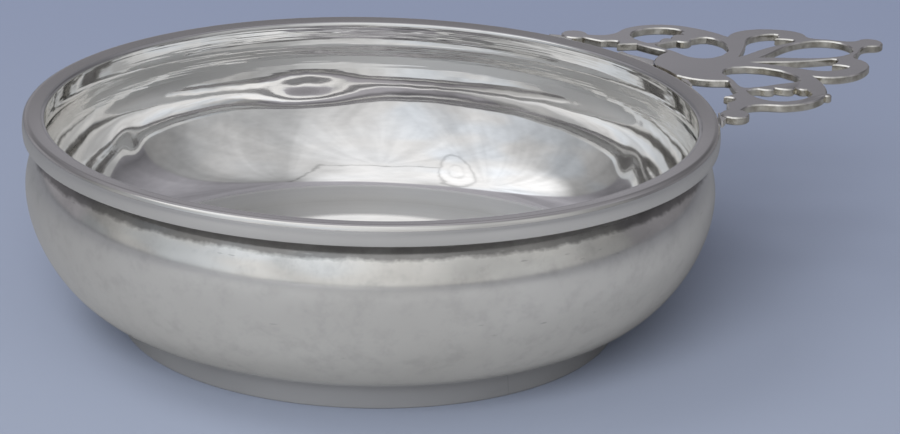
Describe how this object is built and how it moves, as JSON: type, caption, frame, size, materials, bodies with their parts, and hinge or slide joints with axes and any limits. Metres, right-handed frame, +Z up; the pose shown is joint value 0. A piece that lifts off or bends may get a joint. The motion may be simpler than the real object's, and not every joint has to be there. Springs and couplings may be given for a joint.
{
  "type": "single_handle_silver_porringer",
  "caption": "Low round silver bowl with a bellied wall, a heavy flat rim, a short foot ring and one flat pierced scroll handle level with the rim, for holding and serving soft food.",
  "frame": {"origin": "on the table, halfway along the overall length from the bowl's far rim to the handle's tip, on the centreline", "axes": "+X runs from the bowl along the handle's centreline to its tip, +Z is up, +Y is to the left when looking along +X"},
  "size_m": [0.1854, 0.1326, 0.0414],
  "materials": {
    "silver": "polished silver, softened by fine use scratches",
    "silver_solder": "cleaned silver solder, a little duller than the sheet"
  },
  "bodies": {
    "root": {"bowl": "silver", "rim_wire": "silver", "foot_ring": "silver", "foot_seam_solder": "silver_solder", "foot_solder": "silver_solder", "handle": "silver", "tab_solder_left": "silver_solder", "tab_solder_right": "silver_solder", "scroll_solder_left": "silver_solder", "scroll_solder_right": "silver_solder"}
  },
  "joints": []
}
